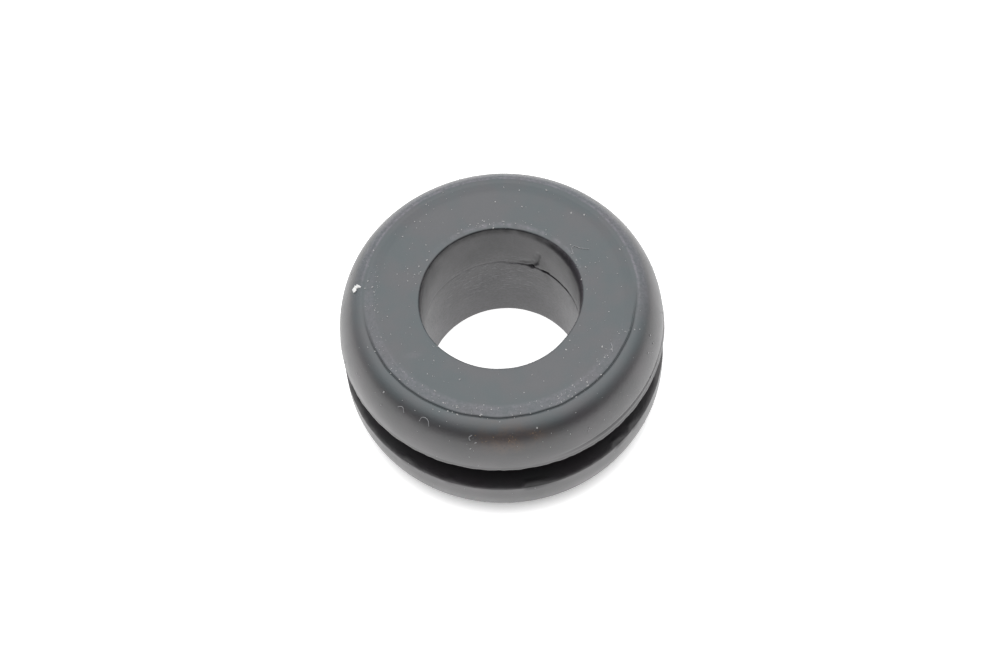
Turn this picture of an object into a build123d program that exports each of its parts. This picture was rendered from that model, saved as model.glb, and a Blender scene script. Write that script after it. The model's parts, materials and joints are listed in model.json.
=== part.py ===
from build123d import *
import os

# Rubber grommet: one moulded ring with two rounded flanges, a groove between them
# for the edge of a sheet-metal panel, and a plain bore for a cable.
# Millimetres. The origin is the centre of the base face and +Z runs along the bore.

# ---- driving dimensions ----
outer_diameter = 16.0      # across either flange
height = 8.0               # base face to top face
bore_diameter = 7.8        # hole that the cable passes through
bore_edge_radius = 0.08    # rounding where the bore meets a face

groove_width = 2.2         # gap between the flanges, where the panel sits
groove_diameter = 12.0     # floor of the groove, which fills the panel's hole
groove_offset = 0.25       # how far the groove's middle lies above mid height
groove_floor_radius = 0.3  # rounding where the floor meets the flanges

shoulder_width = 1.4       # radial width of the rounded shoulder of a flange
edge_land = 0.2            # straight edge left under the upper flange's shoulder
lip_radius = 0.06          # rounding of the flange edge next to the groove

rim_bevel_width = 0.45     # shallow bevel round the rim of a flat face
rim_bevel_drop = 0.08      # how far that bevel falls
rim_crease_width = 0.12    # fine crease between the bevel and the shoulder
rim_crease_depth = 0.05

# ---- sizes that follow from them ----
outer_radius = outer_diameter / 2
bore_radius = bore_diameter / 2
groove_radius = groove_diameter / 2
groove_middle = height / 2 + groove_offset
groove_bottom = groove_middle - groove_width / 2
groove_top = groove_middle + groove_width / 2
shoulder_height = height - groove_top - edge_land - rim_bevel_drop
rim_radius = outer_radius - shoulder_width
crease_radius = rim_radius - rim_crease_width / 2
crease_start_radius = rim_radius - rim_crease_width
face_radius = crease_start_radius - rim_bevel_width


def face_and_shoulder(face_z, outward):
    """One flange's half of the outline, from the bore wall to the flange's edge.

    outward is 1 for the top face and -1 for the base face.
    """
    rim_z = face_z - outward * rim_bevel_drop
    edge_z = rim_z - outward * shoulder_height
    bore_edge = CenterArc(
        (bore_radius + bore_edge_radius, face_z - outward * bore_edge_radius),
        bore_edge_radius,
        180,
        -outward * 90,
    )
    flat_and_rim = Polyline(
        (bore_radius + bore_edge_radius, face_z),
        (face_radius, face_z),
        (crease_start_radius, rim_z),
        (crease_radius, rim_z - outward * rim_crease_depth),
        (rim_radius, rim_z),
    )
    shoulder = EllipticalCenterArc(
        (rim_radius, edge_z),
        shoulder_width,
        shoulder_height,
        start_angle=0 if outward > 0 else 270,
        arc_size=90,
    )
    return bore_edge, flat_and_rim, shoulder


def grommet_outline():
    """Half of the grommet's section, drawn as radius against height."""
    upper_edge_z = height - rim_bevel_drop - shoulder_height
    lower_edge_z = rim_bevel_drop + shoulder_height
    with BuildSketch(Plane.XZ) as section:
        with BuildLine():
            face_and_shoulder(height, 1)
            face_and_shoulder(0.0, -1)
            Line((bore_radius, bore_edge_radius), (bore_radius, height - bore_edge_radius))
            Polyline(
                (outer_radius, upper_edge_z),
                (outer_radius, groove_top),
                (groove_radius, groove_top),
                (groove_radius, groove_bottom),
                (outer_radius, groove_bottom),
                (outer_radius, lower_edge_z),
            )
        make_face()
        floor_corners = [c for c in section.vertices() if abs(c.X - groove_radius) < 0.01]
        fillet(floor_corners, groove_floor_radius)
        lips = [c for c in section.vertices() if abs(c.X - outer_radius) < 0.01]
        fillet([c for c in lips if groove_bottom - 0.01 < c.Y < groove_top + 0.01], lip_radius)
    return section.sketch


def grommet():
    with BuildPart() as part:
        add(grommet_outline())
        revolve(axis=Axis.Z, revolution_arc=360)
    return part.part


os.makedirs("parts", exist_ok=True)
solid = grommet()
solid.label = "grommet"
export_step(solid, "parts/grommet.step")
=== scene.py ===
import bmesh
import bpy
import json
import math
import random
from mathutils import Matrix, Vector, noise
from mathutils.bvhtree import BVHTree


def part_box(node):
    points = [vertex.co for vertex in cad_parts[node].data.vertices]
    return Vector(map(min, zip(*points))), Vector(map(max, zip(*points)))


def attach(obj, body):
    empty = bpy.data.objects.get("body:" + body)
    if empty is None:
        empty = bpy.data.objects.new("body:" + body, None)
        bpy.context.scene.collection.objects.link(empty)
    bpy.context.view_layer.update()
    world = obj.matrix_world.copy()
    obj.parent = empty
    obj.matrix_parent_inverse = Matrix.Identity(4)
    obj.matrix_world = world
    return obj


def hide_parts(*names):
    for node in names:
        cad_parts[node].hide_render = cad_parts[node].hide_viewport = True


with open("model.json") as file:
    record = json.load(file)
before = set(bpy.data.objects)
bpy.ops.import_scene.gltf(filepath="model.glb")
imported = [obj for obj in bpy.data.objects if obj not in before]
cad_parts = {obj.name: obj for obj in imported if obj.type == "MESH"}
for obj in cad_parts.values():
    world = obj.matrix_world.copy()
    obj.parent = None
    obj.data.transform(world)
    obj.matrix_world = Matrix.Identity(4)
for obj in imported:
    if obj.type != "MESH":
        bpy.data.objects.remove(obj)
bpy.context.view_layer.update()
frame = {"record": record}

# A moulded rubber grommet. Shapes are worked out in millimetres, then scaled to metres.
MM = 0.001

# ---- sizes taken from the frame, in millimetres ----
high_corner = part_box("grommet")[1]
outer_radius = high_corner.x / MM
height = high_corner.z / MM
mounts = {mount["name"]: mount for mount in frame["record"]["mounts"]}
bore_radius = mounts["bore"]["dims"]["r_mm"]
groove_middle = mounts["panel_groove"]["pos_m"][2] / MM

# ---- sizes of the outline, in millimetres ----
groove_width = 2.2
groove_radius = 6.0
groove_floor_radius = 0.3
lip_radius = 0.06
bore_edge_radius = 0.08
shoulder_width = 1.4
rim_bevel_width = 0.45
rim_bevel_drop = 0.08
rim_crease_width = 0.12
rim_crease_depth = 0.05
edge_land = 0.2

groove_bottom = groove_middle - groove_width / 2
groove_top = groove_middle + groove_width / 2
shoulder_height = height - groove_top - edge_land - rim_bevel_drop
upper_edge_z = groove_top + edge_land
lower_edge_z = rim_bevel_drop + shoulder_height
rim_radius = outer_radius - shoulder_width
bevel_end_radius = rim_radius - rim_crease_width
face_radius = bevel_end_radius - rim_bevel_width
bore_seam_z = 4.8          # height of the moulding seam round the bore
seam_band = 0.4            # half height of the finely divided band of wall beside it

STEPS_AROUND = 440         # with this outline, 183,040 triangles in the ring


# ---- small helpers ----
def hex_colour(code):
    """An sRGB hex colour as the linear values that a shader takes."""
    channels = [int(code[i:i + 2], 16) / 255 for i in (1, 3, 5)]
    linear = [c / 12.92 if c <= 0.04045 else ((c + 0.055) / 1.055) ** 2.4 for c in channels]
    return (*linear, 1.0)


def add_node(tree, kind, settings=None, links=None):
    """Adds one node. Settings name its properties or its sockets; links name its sockets."""
    node = tree.nodes.new(kind)
    for name, value in (settings or {}).items():
        if isinstance(name, str) and hasattr(node, name):
            setattr(node, name, value)
        else:
            node.inputs[name].default_value = value
    for name, source in (links or {}).items():
        tree.links.new(source, node.inputs[name])
    return node


def smooth_step(low, high, value):
    """0 below low, 1 above high, and a smooth rise between them."""
    share = min(1.0, max(0.0, (value - low) / (high - low)))
    return share * share * (3 - 2 * share)


def bump(centre, half_width, value):
    """1 at the centre, falling smoothly to 0 at half_width either side."""
    return 1 - smooth_step(0, half_width, abs(value - centre))


def degrees_apart(azimuth, centre):
    """Signed angle in degrees from centre to azimuth, between -180 and 180."""
    return (azimuth - centre + 180) % 360 - 180


def mesh_piece(name, mesh_builder, material):
    """Makes an object at the origin from a bmesh whose shape is in millimetres."""
    bmesh.ops.transform(mesh_builder, matrix=Matrix.Scale(MM, 4), verts=mesh_builder.verts)
    mesh = bpy.data.meshes.new(name)
    mesh_builder.to_mesh(mesh)
    mesh_builder.free()
    mesh.materials.append(material)
    piece = bpy.data.objects.new(name, mesh)
    bpy.context.scene.collection.objects.link(piece)
    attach(piece, "root")
    return piece


# ---- the outline of the grommet ----
def straight(start, end, steps):
    """Points from start up to, but not with, end."""
    shares = [i / steps for i in range(steps)]
    return [(start[0] + (end[0] - start[0]) * s, start[1] + (end[1] - start[1]) * s) for s in shares]


def arc(centre, radii, start_deg, end_deg, steps):
    """Points along an elliptical arc, without its last one."""
    angles = [math.radians(start_deg + (end_deg - start_deg) * i / steps) for i in range(steps)]
    return [(centre[0] + radii[0] * math.cos(a), centre[1] + radii[1] * math.sin(a)) for a in angles]


def crease_outline(start_radius, end_radius, rim_z, depth, steps):
    """A fine rounded crease between the bevel and the shoulder."""
    points = []
    for i in range(steps):
        share = i / steps
        dip = depth * math.sin(math.pi * share) ** 2
        points.append((start_radius + (end_radius - start_radius) * share, rim_z - dip))
    return points


def grommet_outline():
    """The whole section, anticlockwise from the foot of the bore, as radius and height."""
    edge = bore_edge_radius
    top_rim_z = height - rim_bevel_drop
    base_rim_z = rim_bevel_drop
    outline = []
    outline += straight((bore_radius, edge), (bore_radius, bore_seam_z - seam_band), 20)
    outline += straight((bore_radius, bore_seam_z - seam_band), (bore_radius, bore_seam_z + seam_band), 16)
    outline += straight((bore_radius, bore_seam_z + seam_band), (bore_radius, height - edge), 20)
    outline += arc((bore_radius + edge, height - edge), (edge, edge), 180, 90, 5)
    outline += straight((bore_radius + edge, height), (face_radius, height), 12)
    outline += straight((face_radius, height), (bevel_end_radius, top_rim_z), 7)
    outline += crease_outline(bevel_end_radius, rim_radius, top_rim_z, rim_crease_depth, 6)
    outline += arc((rim_radius, upper_edge_z), (shoulder_width, shoulder_height), 90, 0, 40)
    outline += straight((outer_radius, upper_edge_z), (outer_radius, groove_top + lip_radius), 4)
    outline += arc((outer_radius - lip_radius, groove_top + lip_radius), (lip_radius,) * 2, 0, -90, 3)
    floor_start = groove_radius + groove_floor_radius
    outline += straight((outer_radius - lip_radius, groove_top), (floor_start, groove_top), 7)
    fillet = (groove_floor_radius, groove_floor_radius)
    outline += arc((floor_start, groove_top - groove_floor_radius), fillet, 90, 180, 3)
    floor_top = groove_top - groove_floor_radius
    floor_bottom = groove_bottom + groove_floor_radius
    outline += straight((groove_radius, floor_top), (groove_radius, floor_bottom), 4)
    outline += arc((floor_start, floor_bottom), fillet, 180, 270, 3)
    outline += straight((floor_start, groove_bottom), (outer_radius - lip_radius, groove_bottom), 10)
    outline += arc((outer_radius - lip_radius, groove_bottom - lip_radius), (lip_radius,) * 2, 90, 0, 3)
    outline += straight((outer_radius, groove_bottom - lip_radius), (outer_radius, lower_edge_z), 9)
    outline += arc((rim_radius, lower_edge_z), (shoulder_width, shoulder_height), 0, -90, 16)
    base_crease = crease_outline(bevel_end_radius, rim_radius, -base_rim_z, rim_crease_depth, 6)
    outline += [(radius, -z) for radius, z in reversed(base_crease)]
    outline += straight((bevel_end_radius, base_rim_z), (face_radius, 0), 4)[1:]
    outline += straight((face_radius, 0), (bore_radius + edge, 0), 6)
    outline += arc((bore_radius + edge, edge), (edge, edge), 270, 180, 5)
    return outline


# ---- how the moulding differs from a perfect ring, in millimetres and degrees ----
# Azimuth 0 is the right-hand side and -90 faces the viewer.
# A torn spot beside the seam in the bore: each tear runs between two (azimuth, height)
# places, with its half width and its depth.
BORE_TEARS = [
    ((54, 4.82), (28, 4.78), 0.06, 0.04),
    ((57, 6.25), (59, 5.4), 0.20, 0.04),
    ((59, 5.4), (64, 4.75), 0.22, 0.08),
    ((54, 4.8), (49, 4.9), 0.14, 0.04),
    ((51, 4.55), (46, 4.25), 0.22, 0.02),
    ((62, 5.25), (70, 5.0), 0.30, 0.04),
    ((66, 4.75), (82, 4.68), 0.07, 0.025),
]
# Nicks in the upper edge of the lower flange: where each starts, where it ends and its depth.
# The rubber tore steeply at the start and thinned out towards the end.
FLANGE_NICKS = [
    (-134, -126, 0.05),
    (-116, -110, 0.04),
    (-88, -72, 0.08),
    (-52, -43, 0.09),
    (-43, -35, 0.07),
    (-20, -12, 0.04),
    (74, 82, 0.04),
    (141, 150, 0.04),
]
worn_mouth = 0.19          # how far wear has pulled back the bore's mouth on its right
lip_droop = 0.08           # how far the moulding flash hangs below the upper flange's edge
flash_line_z = groove_top + 0.42   # where the badly trimmed flash left a line


def ripple(a, b, c):
    """Smooth noise between about -1 and 1. A whole number among the three picks a pattern."""
    return noise.noise(Vector((a, b, c)))


def rim_offset(azimuth):
    """The flat face sits a little towards the far side of the flange."""
    return 0.06 + 0.07 * math.sin(math.radians(azimuth))


def crease_share(azimuth):
    """How open the rim crease is: clear beside the viewer, filled on the sides and at the back."""
    return smooth_step(100, 62, abs(degrees_apart(azimuth, -90)))


def mouth_wear(azimuth):
    """How worn the bore's mouth is: most at 15 degrees, and not at all 60 degrees from there."""
    return bump(15, 60, azimuth)


def bore_seam_depth(azimuth):
    """The moulding seam shows on one side of the bore and fades out round the rest."""
    visible = smooth_step(95, 60, azimuth) * smooth_step(-25, 20, azimuth)
    uneven = 0.6 + 0.4 * ripple(azimuth / 3, 7.0, 0.0)
    return 0.012 + 0.035 * visible * uneven


def tear_depth(azimuth, z):
    """How deep the torn spot in the bore is at one place."""
    if not (20 < azimuth < 90 and 4.2 < z < 6.8):
        return 0.0
    deepest = 0.0
    mm_per_degree = math.radians(1) * bore_radius
    ragged = 1 + 0.5 * ripple(azimuth / 2, z * 4, 6)
    place = Vector((azimuth * mm_per_degree, z))
    for start, end, half_width, depth in BORE_TEARS:
        first = Vector((start[0] * mm_per_degree, start[1]))
        along = Vector((end[0] * mm_per_degree, end[1])) - first
        share = min(1.0, max(0.0, (place - first).dot(along) / along.length_squared))
        gap = (place - first - along * share).length
        deepest = max(deepest, depth * bump(0, half_width * ragged, gap))
    return deepest


def nick_depth(azimuth):
    """How deep the torn nicks are in the lower flange's edge."""
    deepest = 0.0
    for start, end, depth in FLANGE_NICKS:
        steep_side = smooth_step(start, start + 2.4, azimuth)
        gentle_side = smooth_step(end, start + 2.4, azimuth)
        deepest = max(deepest, depth * steep_side * gentle_side)
    return deepest


def flash_strength(azimuth):
    """Moulding flash was trimmed badly along the right-hand side of the flange."""
    return smooth_step(-80, -55, azimuth) * smooth_step(25, -5, azimuth)


def nudge(point):
    """Moves one point of the perfect ring to where the rubber came out of the mould."""
    x, y, z = point
    radius = math.hypot(x, y)
    azimuth = math.degrees(math.atan2(y, x))
    around = Vector((x / radius, y / radius, 0))
    out = 0.03 * noise.noise(around * 1.3 + Vector((0, 0, 3))) * radius / outer_radius
    up = 0.0

    # the flat face is slightly uneven, its crease fills up at the back, and its rim wanders
    if z > height - 0.2 and radius < rim_radius + 0.02:
        up += 0.012 * ripple(x / 2.2, y / 2.2, 1)
        up += 0.004 * ripple(x / 0.5, y / 0.5, 2)
    if z > height - 0.2 and bevel_end_radius < radius < rim_radius:
        crease_depth = height - rim_bevel_drop - z
        up += crease_depth * (1 - crease_share(azimuth))
    if z > upper_edge_z:
        near_rim = smooth_step(face_radius - 0.4, bevel_end_radius, radius)
        near_rim *= smooth_step(outer_radius, rim_radius, radius)
        wander = 0.03 * ripple(azimuth / 9, 0, 5)
        out += near_rim * (rim_offset(azimuth) + wander)

    # the bore has its seam and its torn spot, and its mouth is worn back
    if radius < bore_radius + 0.01:
        seam_z = bore_seam_z + 0.06 * ripple(azimuth / 14, 2, 0)
        out += bore_seam_depth(azimuth) * bump(seam_z, 0.11, z)
        out += 0.012 * ripple(azimuth / 12, z / 1.4, 4)
        out += tear_depth(azimuth, z)
    if radius < bore_radius + 0.6 and z > height - 0.6:
        worn = mouth_wear(azimuth) + 0.3 * bump(0, 40, degrees_apart(azimuth, -158))
        beside_mouth = smooth_step(bore_radius + 0.6, bore_radius + 0.1, radius)
        out += worn_mouth * worn * beside_mouth * smooth_step(height - 0.6, height - 0.05, z)

    # both flange edges beside the groove are ragged: flash on the upper one, nicks in the lower
    if radius > outer_radius - 0.2:
        ragged = noise.noise(around * 16 + Vector((0, 0, 8)))
        ragged += 0.6 * noise.noise(around * 40 + Vector((0, 0, 9)))
        upper_lip = bump(groove_top, 0.16, z)
        lower_lip = bump(groove_bottom, 0.35, z)
        out += upper_lip * (0.02 * ragged + 0.03 + 0.03 * flash_strength(azimuth))
        up -= upper_lip * (0.03 * ragged + lip_droop)
        flash_line = bump(flash_line_z, 0.12, z) * flash_strength(azimuth)
        out -= 0.08 * flash_line
        nick = nick_depth(azimuth) * (1 + 0.5 * ragged)
        out += lower_lip * (0.02 * ragged - 0.6 * nick)
        up += lower_lip * (0.02 * ragged - nick)
    return x + around.x * out, y + around.y * out, z + up


# ---- where dust, painted light and painted shade lie, as shares from 0 to 1 kept on the mesh ----
def dust_and_painted_light_share(x, y, z):
    """Pale dust on the rim bevel, the far shoulder, the bore's edge and one smear; on the bore's wall,
    mostly painted light from the glowing floor.
    """
    radius = math.hypot(x, y)
    azimuth = math.degrees(math.atan2(y, x))
    if radius < bore_radius + 0.02:
        # the bore's wall is mostly painted light: lighter on the sides and towards the bottom, with real
        # pale dust at the worn mouth
        beside = smooth_step(30, 95, abs(degrees_apart(azimuth, 92)))
        lower = smooth_step(height - 1.0, 2.0, z)
        worn = mouth_wear(azimuth) * smooth_step(height - 0.3, height - 0.1, z)
        return min(1.0, 0.12 + (0.22 + 0.6 * beside) * lower + 0.5 * worn)
    if z < height - 0.35:
        return 0.0
    from_rim = radius - rim_offset(azimuth)
    patchy = 0.8 + 0.5 * ripple(x / 0.45, y / 0.45, 11)
    near_side = smooth_step(100, 35, abs(degrees_apart(azimuth, -100)))
    left_side = smooth_step(45, 10, abs(degrees_apart(azimuth, 190)))
    bevel = smooth_step(face_radius - 0.12, face_radius + 0.12, from_rim)
    bevel *= smooth_step(bevel_end_radius + 0.04, bevel_end_radius - 0.06, from_rim)
    share = 0.5 * bevel * patchy * max(near_side, 0.8 * left_side)
    share += 0.5 * bump(face_radius + 0.03, 0.07, from_rim) * patchy * near_side
    far_side = smooth_step(105, 70, abs(degrees_apart(azimuth, 80)))
    share += bump(rim_radius + 0.06, 0.10, from_rim) * far_side * patchy
    beside_bore = bump(bore_radius + 0.24, 0.2, radius)
    beside_bore *= smooth_step(75, 30, abs(degrees_apart(azimuth, 75)))
    far_shoulder = smooth_step(rim_radius - 0.05, rim_radius + 0.25, from_rim)
    share += 0.5 * far_side * far_shoulder * smooth_step(height - 0.35, height - 0.2, z)
    smear_x, smear_y = -4.4, -2.8
    share += 0.3 * bump(smear_x, 0.6, x) * bump(smear_y, 0.25, y)
    share += 0.9 * beside_bore * (0.5 + 1.3 * ripple(x / 0.3, y / 0.3, 12))
    return min(1.0, max(0.0, share))


def haze_share(x, y, z):
    """A thin cool bloom on the top face, which fades at the start of the shoulder."""
    if math.hypot(x, y) < bore_radius + 0.02:
        return 0.0
    return smooth_step(height - 0.5, height - 0.08, z)


def painted_shade_share(x, y, z):
    """Painted shade in the rim's crease, just inside the bore's mouth, in its seam and in and round its
    tear, deeper in the groove, and in the nicks and flash line of its edges.
    """
    radius = math.hypot(x, y)
    azimuth = math.degrees(math.atan2(y, x))
    share = 0.0
    if z > height - 0.35:
        from_rim = radius - rim_offset(azimuth)
        # painted shade in the rim's crease, beside the viewer
        share += 0.45 * bump((bevel_end_radius + rim_radius) / 2, 0.09, from_rim) * crease_share(azimuth)
    if radius < bore_radius + 0.06:
        # painted shade in a ring just inside the bore's mouth, strongest at the far side and least where
        # the mouth is worn; then in and round the tear, and along the seam
        far_side = 0.25 + 0.75 * smooth_step(115, 70, abs(degrees_apart(azimuth, 90)))
        uneven = 0.8 + 0.5 * ripple(azimuth / 6, 3, 3)
        worn = mouth_wear(azimuth)
        ring = bump(height - 0.2 - 0.14 * worn, 0.46 - 0.3 * worn, z)
        share += (0.8 - 0.62 * worn) * far_side * uneven * ring
        share += 0.55 * min(1.0, tear_depth(azimuth, z) / 0.06)
        ragged_edge = 0.6 + 0.9 * ripple(azimuth / 2.5, z * 2.2, 14)
        share += 0.6 * bump(57, 10, azimuth) * bump(5.45, 1.0, z) * max(0.0, ragged_edge)
        seam = bump(bore_seam_z, 0.13, z) * smooth_step(60, 35, abs(azimuth - 45))
        share += 0.45 * seam
    if radius > groove_radius - 0.01 and groove_bottom - 0.02 < z < groove_top + 0.02:
        # painted shade, darker deeper in the groove
        share += 0.52 * smooth_step(outer_radius + 0.1, outer_radius - 0.9, radius)
    if radius > outer_radius - 0.5:
        # painted shade in the nicks and along the flash line
        share += 0.4 * bump(groove_bottom, 0.3, z) * min(1.0, nick_depth(azimuth) / 0.08)
        share += 0.5 * bump(flash_line_z, 0.1, z) * flash_strength(azimuth)
    return min(1.0, max(0.0, share))


def stain_share(x, y, z):
    """A brown, rusty stain on the near shoulder."""
    if z < upper_edge_z or y > 0 or math.hypot(x, y) < rim_radius:
        return 0.0
    azimuth = math.degrees(math.atan2(y, x))
    patch = bump(-91, 22, azimuth) * bump(7.35, 0.9, z)
    return min(1.0, max(0.0, patch * (0.6 + 1.2 * ripple(x / 0.5, y / 0.5, z / 0.8))))


def pale_streak_share(x, y, z):
    """Where the far wall of the bore carries pale streaks."""
    if math.hypot(x, y) > bore_radius + 0.3:
        return 0.0
    azimuth = math.degrees(math.atan2(y, x))
    return bump(95, 62, azimuth) * bump(3.6, 2.6, z)


MASKS = {
    "haze": haze_share,
    "dust": dust_and_painted_light_share,
    "grime": painted_shade_share,
    "stain": stain_share,
    "scuff": pale_streak_share,
}


def moulded_ring():
    """The outline spun round the bore, then nudged into its real, slightly uneven shape."""
    builder = bmesh.new()
    corners = [builder.verts.new((radius, 0, z)) for radius, z in grommet_outline()]
    edges = []
    for i, corner in enumerate(corners):
        edges.append(builder.edges.new((corner, corners[(i + 1) % len(corners)])))
    bmesh.ops.spin(
        builder,
        geom=corners + edges,
        cent=(0, 0, 0),
        axis=(0, 0, 1),
        dvec=(0, 0, 0),
        angle=math.tau,
        steps=STEPS_AROUND,
        use_merge=True,
        use_duplicate=False,
    )
    bmesh.ops.remove_doubles(builder, verts=builder.verts, dist=0.0005)
    layers = {name: builder.verts.layers.float.new(name) for name in MASKS}
    for corner in builder.verts:
        for name, layer in layers.items():
            corner[layer] = MASKS[name](*corner.co)
        corner.co = nudge(corner.co)
    bmesh.ops.recalc_face_normals(builder, faces=builder.faces)
    for face in builder.faces:
        face.smooth = True
    return builder


# ---- materials ----
def new_material(name):
    """An empty node material, and its tree of nodes."""
    material = bpy.data.materials.new(name)
    material.use_nodes = True
    material.node_tree.nodes.clear()
    return material, material.node_tree


def smooth_range(tree, value, low, high, start, end):
    """Takes a value between low and high smoothly to one between start and end."""
    settings = {"interpolation_type": "SMOOTHSTEP"}
    settings.update({"From Min": low, "From Max": high, "To Min": start, "To Max": end})
    return add_node(tree, "ShaderNodeMapRange", settings, {"Value": value}).outputs[0]


def mix_colour(tree, share, first, second):
    """The second colour over the first by a share. Sockets 6 and 7 take them and output 2 is the mix."""
    mix = add_node(tree, "ShaderNodeMix", {"data_type": "RGBA"})
    tree.links.new(share, mix.inputs["Factor"])
    for socket, value in ((mix.inputs[6], first), (mix.inputs[7], second)):
        if isinstance(value, str):
            socket.default_value = hex_colour(value)
        else:
            tree.links.new(value, socket)
    return mix.outputs[2]


def patterned(tree, mask, pattern, low, high):
    """A mask kept on the mesh, broken up by a pattern between low and high."""
    where = add_node(tree, "ShaderNodeAttribute", {"attribute_name": mask})
    broken = smooth_range(tree, pattern, low, high, 0.0, 1.0)
    settings = {"operation": "MULTIPLY", "use_clamp": True}
    both = add_node(tree, "ShaderNodeMath", settings, {0: where.outputs["Fac"], 1: broken})
    return both.outputs[0]


def noise_pattern(tree, place, per_mm, detail):
    """Noise with a given number of patches in a millimetre."""
    settings = {"Scale": per_mm, "Detail": detail, "Roughness": 0.6}
    return add_node(tree, "ShaderNodeTexNoise", settings, {"Vector": place}).outputs["Fac"]


def rubber_material():
    """Moulded black rubber, aged to charcoal: softly glossy, faintly mottled, dusty at the edges, with
    painted shade in its creases and hollows and painted light on the bore's wall.
    """
    material, tree = new_material("moulded black rubber")
    object_place = add_node(tree, "ShaderNodeTexCoord").outputs["Object"]
    in_mm = add_node(
        tree, "ShaderNodeVectorMath", {"operation": "SCALE", "Scale": 1 / MM}, {0: object_place}
    ).outputs[0]
    # the pale streaks are about 0.4 mm long round the bore and 0.1 mm high
    along_bore = add_node(
        tree, "ShaderNodeVectorMath", {"operation": "MULTIPLY", 1: (1.0, 1.0, 4.5)}, {0: in_mm}
    ).outputs[0]
    patches = noise_pattern(tree, in_mm, 0.45, 3.0)
    grit = noise_pattern(tree, in_mm, 7.0, 3.0)
    fine_grit = noise_pattern(tree, in_mm, 14.0, 2.0)
    streaks = noise_pattern(tree, along_bore, 2.6, 2.0)

    # bare rubber is warm and cool charcoal in soft patches, and its bloom a little paler and bluer
    tint = add_node(tree, "ShaderNodeValToRGB", None, {"Fac": patches})
    tint.color_ramp.elements[0].position = 0.38
    tint.color_ramp.elements[0].color = hex_colour("#373337")
    tint.color_ramp.elements[1].position = 0.62
    tint.color_ramp.elements[1].color = hex_colour("#333335")
    bloom = add_node(tree, "ShaderNodeValToRGB", None, {"Fac": patches})
    bloom.color_ramp.elements[0].position = 0.40
    bloom.color_ramp.elements[0].color = hex_colour("#45474b")
    bloom.color_ramp.elements[1].position = 0.60
    bloom.color_ramp.elements[1].color = hex_colour("#3e494d")
    hazy = add_node(tree, "ShaderNodeAttribute", {"attribute_name": "haze"})
    colour = mix_colour(tree, hazy.outputs["Fac"], tint.outputs["Color"], bloom.outputs["Color"])
    # then over it, in turn: a brown stain, grey streaks, settled dust that also paints light on the bore's
    # wall, and painted shade
    colour = mix_colour(tree, patterned(tree, "stain", grit, 0.25, 0.55), colour, "#54443a")
    colour = mix_colour(tree, patterned(tree, "scuff", streaks, 0.53, 0.66), colour, "#94949a")
    colour = mix_colour(tree, patterned(tree, "dust", grit, 0.20, 0.70), colour, "#737079")
    grime = patterned(tree, "grime", fine_grit, 0.0, 0.3)
    colour = mix_colour(tree, grime, colour, "#0e0e0f")
    # the painted shade also loses shine, so it stays dark beside the glossy rubber
    shine = add_node(tree, "ShaderNodeMapRange", {"To Min": 0.5, "To Max": 0.1}, {"Value": grime})

    relief = add_node(
        tree, "ShaderNodeBump", {"Strength": 0.25, "Distance": 0.02 * MM}, {"Height": grit}
    )
    streak_relief = add_node(
        tree,
        "ShaderNodeBump",
        {"Strength": 0.3, "Distance": 0.02 * MM},
        {"Height": patterned(tree, "scuff", streaks, 0.5, 0.7), "Normal": relief.outputs["Normal"]},
    )
    dullness = add_node(
        tree,
        "ShaderNodeMapRange",
        {"From Min": 0.3, "From Max": 0.7, "To Min": 0.35, "To Max": 0.43},
        {"Value": patches},
    )
    rubber = add_node(
        tree,
        "ShaderNodeBsdfPrincipled",
        {"IOR": 1.8},
        {
            "Base Color": colour,
            "Normal": streak_relief.outputs["Normal"],
            "Roughness": dullness.outputs[0],
            "Specular IOR Level": shine.outputs[0],
        },
    )
    add_node(tree, "ShaderNodeOutputMaterial", None, {"Surface": rubber.outputs[0]})
    return material


def dust_material(name, dark, pale):
    """Settled crumbs and lint: quite matt, each a slightly different shade."""
    material, tree = new_material(name)
    object_place = add_node(tree, "ShaderNodeTexCoord").outputs["Object"]
    shade = add_node(
        tree, "ShaderNodeTexNoise", {"Scale": 3.0 / MM, "Detail": 1.0}, {"Vector": object_place}
    ).outputs["Fac"]
    colour = mix_colour(tree, shade, dark, pale)
    dust = add_node(tree, "ShaderNodeBsdfPrincipled", {"Roughness": 0.85}, {"Base Color": colour})
    add_node(tree, "ShaderNodeOutputMaterial", None, {"Surface": dust.outputs[0]})
    return material


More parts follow.
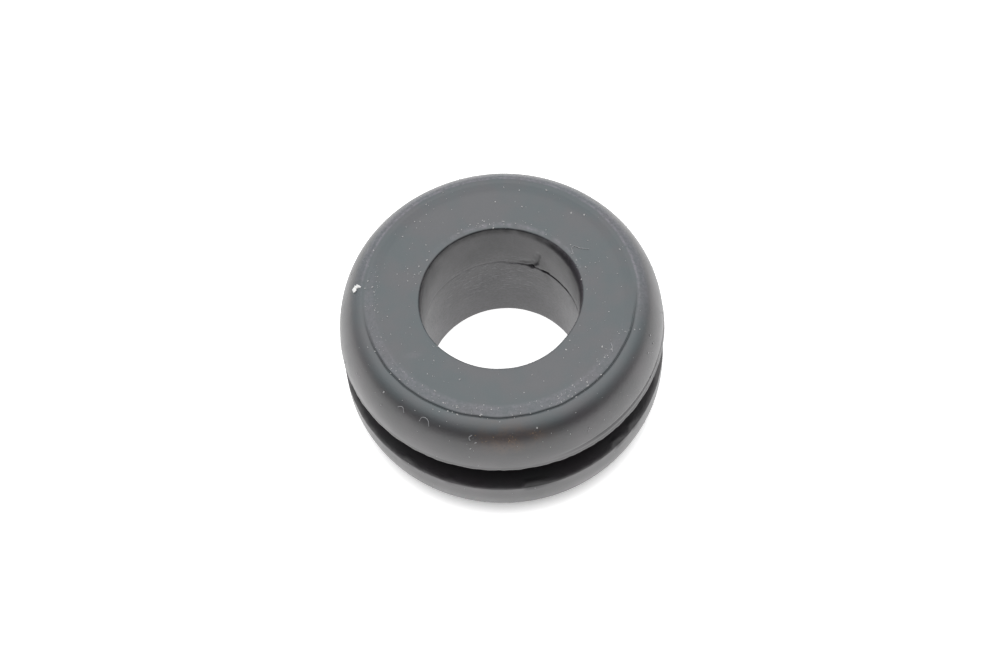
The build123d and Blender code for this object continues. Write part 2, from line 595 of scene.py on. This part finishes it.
def floor_material():
    """White board: bright to the camera, with a tight shadow where the grommet touches it, partly real and
    partly painted into its glow.
    """
    material, tree = new_material("white board")
    paper = add_node(tree, "ShaderNodeBsdfDiffuse", {"Color": (0.85, 0.85, 0.85, 1)})
    # the glow is darkened by ambient occlusion near the grommet: a painted contact shadow on top of the
    # board's real shadow
    painted_contact_shadow = add_node(tree, "ShaderNodeAmbientOcclusion", {"samples": 8, "Distance": 0.95 * MM})
    # the painted contact shadow is left out under the bore, where the ceiling's light falls straight
    # through, so the board is plain white there
    place = add_node(tree, "ShaderNodeTexCoord").outputs["Object"]
    from_middle = add_node(tree, "ShaderNodeVectorMath", {"operation": "LENGTH"}, {0: place})
    outside_bore = add_node(
        tree,
        "ShaderNodeMapRange",
        {"From Min": (bore_radius + 0.3) * MM, "From Max": (bore_radius + 0.8) * MM},
        {"Value": from_middle.outputs["Value"]},
    ).outputs[0]
    shade = mix_colour(tree, outside_bore, "#ffffff", painted_contact_shadow.outputs["Color"])
    glow = add_node(tree, "ShaderNodeEmission", {"Strength": 0.9}, {"Color": shade})
    seen = add_node(tree, "ShaderNodeLightPath")
    mirrored = add_node(
        tree,
        "ShaderNodeMath",
        {"operation": "MAXIMUM"},
        {0: seen.outputs["Is Camera Ray"], 1: seen.outputs["Is Glossy Ray"]},
    )
    any_view = add_node(
        tree,
        "ShaderNodeMath",
        {"operation": "MAXIMUM"},
        {0: mirrored.outputs[0], 1: seen.outputs["Is Transmission Ray"]},
    )
    lit = add_node(tree, "ShaderNodeAddShader", None, {0: paper.outputs[0], 1: glow.outputs[0]})
    board = add_node(
        tree, "ShaderNodeMixShader", None, {0: any_view.outputs[0], 1: paper.outputs[0], 2: lit.outputs[0]}
    )
    add_node(tree, "ShaderNodeOutputMaterial", None, {"Surface": board.outputs[0]})
    return material


# ---- dust, lint and a flake that lie on the rubber ----
# Places on the ring are an azimuth in degrees and a point of the outline, as radius and height.
# Single specks that stand out: azimuth, radius, height, size.
BRIGHT_SPECKS = [
    (24, 4.26, 8.0, 0.10), (-103, 7.58, 7.24, 0.10), (-80, 7.20, 7.69, 0.09),
    (49, 5.90, 8.0, 0.10), (88, 5.45, 8.0, 0.08), (65, 6.55, 7.95, 0.12), (151, 4.35, 8.0, 0.09),
    (163, 4.6, 8.0, 0.06), (196, 5.6, 8.0, 0.08), (-61, 6.2, 8.0, 0.08), (-113, 6.3, 7.98, 0.10),
]
# Lint: the azimuth and radius of each point of a fibre on the flat face or the shoulder.
LINT = [
    [(29.2, 4.31), (33.5, 4.55), (29.7, 4.80), (26.8, 5.10)],
    [(-30.5, 5.95), (-31.6, 6.08), (-34.0, 6.25)],
    [(-121.0, 7.45), (-122.6, 7.20), (-124.6, 7.22), (-125.2, 7.42)],
    [(-132.0, 7.45), (-133.5, 7.28), (-135.2, 7.40)],
    [(-104.5, 7.30), (-105.5, 7.42), (-105.0, 7.56)],
]


def on_rubber(surface, azimuth, radius, z):
    """The nearest place on the rubber, and the way out of it there."""
    angle = math.radians(azimuth)
    wanted = Vector((radius * math.cos(angle), radius * math.sin(angle), z)) * MM
    place, outward, _, _ = surface.find_nearest(wanted)
    return place / MM, outward


def add_flake(builder, place, outward, size, chance):
    """One irregular flat crumb of dust lying on the surface."""
    crumb = bmesh.ops.create_icosphere(builder, subdivisions=1, radius=size / 2)["verts"]
    for corner in crumb:
        corner.co *= chance.uniform(0.6, 1.3)
    stretch = Matrix.Diagonal((chance.uniform(0.7, 1.6), chance.uniform(0.6, 1.0), 0.5, 1))
    spin = Matrix.Rotation(chance.uniform(0, math.tau), 4, "Z")
    lie = outward.to_track_quat("Z", "Y").to_matrix().to_4x4()
    settle = Matrix.Translation(place + outward * size * 0.12)
    bmesh.ops.transform(builder, matrix=settle @ lie @ spin @ stretch, verts=crumb)


def outline_place(share):
    """A place on the top half of the outline: 0 is the edge of the bore, 1 the flange's edge."""
    flat = face_radius - bore_radius
    round_length = 3.4
    round_drop = 2.4
    path = share * (flat + round_length)
    if path < flat:
        return bore_radius + path, height
    turn = (path - flat) / round_length * math.pi / 2
    radius = face_radius + (outer_radius - face_radius) * math.sin(turn)
    return radius, height - round_drop * (1 - math.cos(turn))


def scattered_dust(surface):
    """Fine specks all over, thickest on the rim beside the viewer and on the left."""
    specks_on_top = 330
    specks_on_bevel = 150
    specks_beside_bore = 45
    specks_on_lower_flange = 70
    chance = random.Random(7)
    builder = bmesh.new()
    for azimuth, radius, z, size in BRIGHT_SPECKS:
        add_flake(builder, *on_rubber(surface, azimuth, radius, z), size, chance)
    for _ in range(specks_on_top):
        radius, z = outline_place(chance.random())
        size = 0.025 + 0.07 * chance.random() ** 3
        add_flake(builder, *on_rubber(surface, chance.uniform(-180, 180), radius, z), size, chance)
    for _ in range(specks_on_bevel):
        azimuth = -110 + 95 * chance.uniform(-1, 1)
        radius = face_radius + rim_bevel_width * chance.uniform(-0.3, 1.3)
        size = 0.03 + 0.06 * chance.random() ** 2
        add_flake(builder, *on_rubber(surface, azimuth, radius, height), size, chance)
    for _ in range(specks_beside_bore):
        azimuth = chance.uniform(0, 170)
        radius = bore_radius + 0.25 + 0.35 * chance.random()
        size = chance.uniform(0.03, 0.07)
        add_flake(builder, *on_rubber(surface, azimuth, radius, height), size, chance)
    for _ in range(specks_on_lower_flange):
        azimuth = chance.uniform(-180, 180)
        z = chance.uniform(0.4, groove_bottom)
        size = chance.uniform(0.02, 0.06)
        add_flake(builder, *on_rubber(surface, azimuth, outer_radius, z), size, chance)
    bmesh.ops.recalc_face_normals(builder, faces=builder.faces)
    return builder


def rust_specks(surface):
    """Tiny brown crumbs in three clusters on the near shoulder."""
    specks_in_cluster = 8
    shoulder_middle = 7.4
    chance = random.Random(11)
    builder = bmesh.new()
    for middle in (-101.5, -90.0, -80.5):
        for _ in range(specks_in_cluster):
            azimuth = chance.gauss(middle, 1.5)
            z = chance.uniform(7.15, 7.65)
            size = chance.uniform(0.03, 0.08)
            add_flake(builder, *on_rubber(surface, azimuth, shoulder_middle, z), size, chance)
    bmesh.ops.recalc_face_normals(builder, faces=builder.faces)
    return builder


def white_flake(surface):
    """One large pale flake, bent like a bean, on the left of the rim."""
    crumbs = 5
    flake_z = 7.85
    chance = random.Random(3)
    builder = bmesh.new()
    for step in range(crumbs):
        share = step / (crumbs - 1)
        azimuth = 168.9 + 1.6 * share
        radius = 6.92 + 0.25 * math.sin(2.2 * share)
        size = 0.21 + 0.05 * share
        add_flake(builder, *on_rubber(surface, azimuth, radius, flake_z), size, chance)
    bmesh.ops.recalc_face_normals(builder, faces=builder.faces)
    return builder


def fibre(surface, points, thickness):
    """One fibre of lint: a thin tube along a smooth line that lies on the rubber."""
    curve = bpy.data.curves.new("fibre", "CURVE")
    curve.dimensions = "3D"
    curve.bevel_depth = thickness / 2
    curve.bevel_resolution = 1
    curve.resolution_u = 6
    spline = curve.splines.new("BEZIER")
    spline.bezier_points.add(len(points) - 1)
    for knot, (azimuth, radius) in zip(spline.bezier_points, points):
        z = height - max(0, radius - rim_radius) * 0.7
        place, outward = on_rubber(surface, azimuth, radius, z)
        knot.co = place + outward * thickness * 0.6
        knot.handle_left_type = "AUTO"
        knot.handle_right_type = "AUTO"
    holder = bpy.data.objects.new("fibre", curve)
    mesh = bpy.data.meshes.new_from_object(holder)
    bpy.data.objects.remove(holder)
    return mesh


def lint(surface):
    """A few curled fibres on the face and the near shoulder."""
    thickness = 0.028
    builder = bmesh.new()
    for points in LINT:
        builder.from_mesh(fibre(surface, points, thickness))
    bmesh.ops.recalc_face_normals(builder, faces=builder.faces)
    return builder


# ---- studio ----
def white_floor():
    """A white board, 2 m across, that the grommet stands on and that fills any view from above."""
    half_size = 1000
    builder = bmesh.new()
    bmesh.ops.create_grid(builder, x_segments=1, y_segments=1, size=half_size * MM)
    mesh = bpy.data.meshes.new("floor")
    builder.to_mesh(mesh)
    builder.free()
    mesh.materials.append(floor_material())
    floor = bpy.data.objects.new("floor", mesh)
    bpy.context.scene.collection.objects.link(floor)


def studio_light():
    """A bright ceiling of soft light, fading towards the side that the camera stands on."""
    world = bpy.data.worlds.new("studio")
    bpy.context.scene.world = world
    world.use_nodes = True
    tree = world.node_tree
    tree.nodes.clear()
    direction = add_node(tree, "ShaderNodeTexCoord")
    axes = add_node(tree, "ShaderNodeSeparateXYZ", None, {0: direction.outputs["Generated"]})
    backward = smooth_range(tree, axes.outputs["Y"], -0.9, 0.6, 0.12, 1.0)
    overhead = smooth_range(tree, axes.outputs["Z"], 0.5, 0.98, 0.0, 1.0)
    level = add_node(tree, "ShaderNodeMath", {"operation": "ADD"}, {0: backward, 1: overhead})
    white = {"Color": (1, 1, 1, 1)}
    light = add_node(tree, "ShaderNodeBackground", white, {"Strength": level.outputs[0]})
    add_node(tree, "ShaderNodeOutputWorld", None, {"Surface": light.outputs[0]})


def product_camera():
    """A long lens looking down at the grommet from the front."""
    elevation = math.radians(60.9)
    roll = math.radians(-4.75)
    aim_right = -0.0172 * outer_radius * MM
    aim_up = 0.0230 * outer_radius * MM
    distance = 8 * 2 * outer_radius * MM
    lens = bpy.data.cameras.new("camera")
    lens.sensor_width = 36.0
    lens.lens = 92.3
    lens.clip_start = 0.01
    camera = bpy.data.objects.new("camera", lens)
    bpy.context.scene.collection.objects.link(camera)
    turn = Matrix.Rotation(math.pi / 2 - elevation, 4, "X") @ Matrix.Rotation(roll, 4, "Z")
    aim = Matrix.Translation((aim_right, aim_up, distance))
    camera.matrix_world = Matrix.Translation((0, 0, height * MM / 2)) @ turn @ aim
    bpy.context.scene.camera = camera


# ---- the scene ----
bpy.context.scene.view_settings.view_transform = "Standard"
white_floor()
studio_light()
product_camera()

ring = mesh_piece("grommet_moulding", moulded_ring(), rubber_material())
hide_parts("grommet")

ring_surface = BVHTree.FromPolygons(
    [corner.co.copy() for corner in ring.data.vertices],
    [tuple(face.vertices) for face in ring.data.polygons],
)
# pale dust shows as fine bright points, lint as soft grey hairs, chalk as one white spot,
# and rust dust as a faint brown speckle
pale_dust = dust_material("pale dust", "#77777a", "#dcdbda")
lint_grey = dust_material("grey lint", "#8c8c8f", "#bcbcbf")
chalk = dust_material("chalk", "#e6e6e4", "#fafafa")
rust = dust_material("rust dust", "#5c4c40", "#94806c")
mesh_piece("dust_specks", scattered_dust(ring_surface), pale_dust)
mesh_piece("white_flake", white_flake(ring_surface), chalk)
mesh_piece("lint_fibres", lint(ring_surface), lint_grey)
mesh_piece("rust_specks", rust_specks(ring_surface), rust)
